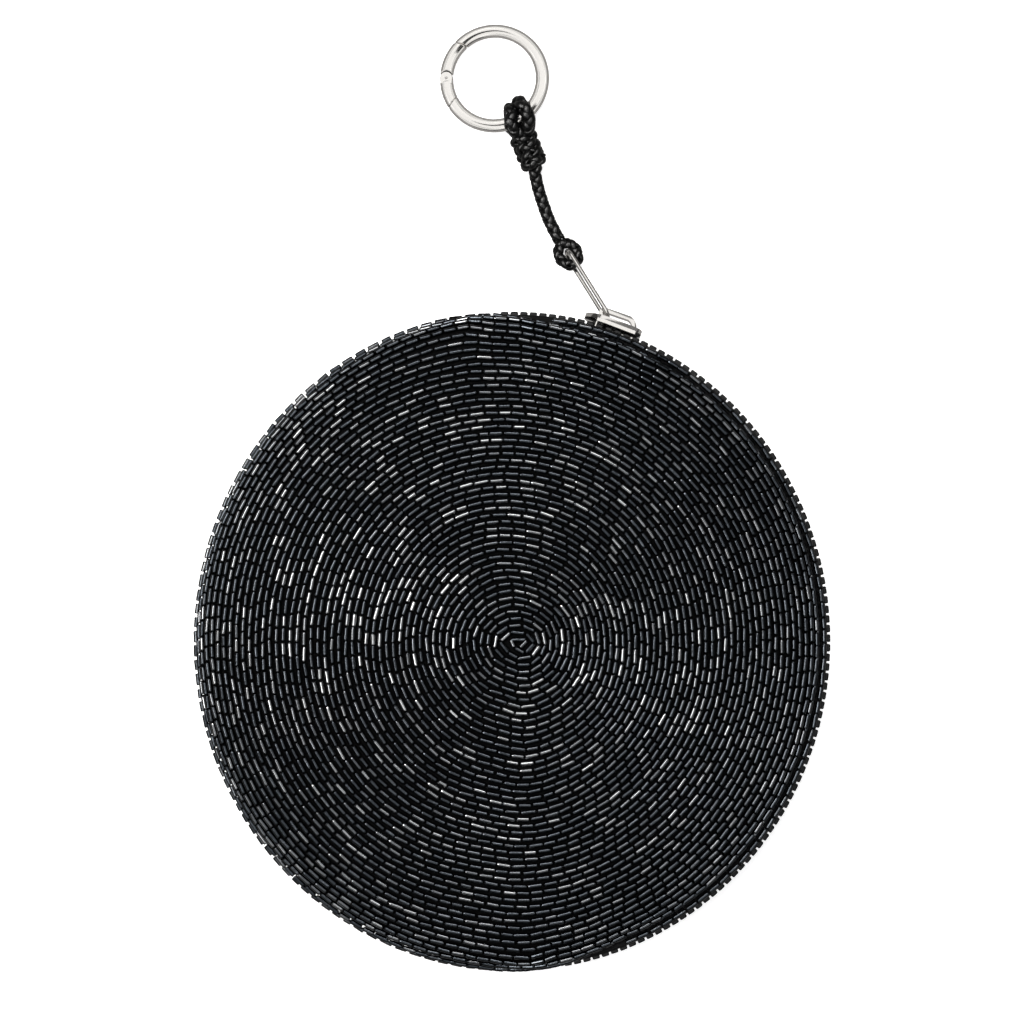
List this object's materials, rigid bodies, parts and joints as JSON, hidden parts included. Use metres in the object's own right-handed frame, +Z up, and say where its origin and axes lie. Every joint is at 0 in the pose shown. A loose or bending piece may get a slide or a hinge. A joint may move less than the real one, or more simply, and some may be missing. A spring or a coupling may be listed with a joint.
{
  "type": "beaded coin purse",
  "caption": "Round flat coin purse covered in a spiral of black bugle beads, zipped round one side, with a braided cord and spring gate ring on its zip pull.",
  "frame": {"origin": "centre of the flat underside of the back, where the purse lies on a surface", "axes": "+Z up from the surface, through the front; +Y in the disc towards the zip slider and ring; +X right, towards the zip's long side"},
  "size_m": [0.1444, 0.2156, 0.0186],
  "materials": {
    "beads": "glossy black glass bugle beads",
    "tape": "black woven zip tape and lining cloth",
    "teeth": "black moulded zip teeth",
    "nickel": "polished nickel plate",
    "cord": "black braided leather"
  },
  "bodies": {
    "purse": {"back_panel": "beads", "front_panel": "beads", "zip_tape_back": "tape", "zip_tape_front": "tape", "zip_teeth_back": "teeth", "zip_teeth_front": "teeth", "zip_slider": "nickel", "pull_link": "nickel", "cord_eye": "cord", "cord_run": "cord", "wrap_knot": "cord", "cord_loop_left": "cord", "cord_loop_right": "cord", "ring_body": "nickel", "ring_hinge_block": "nickel"},
    "gate": {"ring_gate": "nickel"}
  },
  "joints": [
    {"name": "gate_hinge", "type": "hinge", "parent": "purse", "child": "gate", "pos_m": [-0.01505, 0.12836, 0.00223], "axis": [0.0667, -0.111, -0.9916], "range_deg": [0, 28], "stiffness_Nm_per_rad": 0.004, "springref_deg": -20.05}
  ]
}
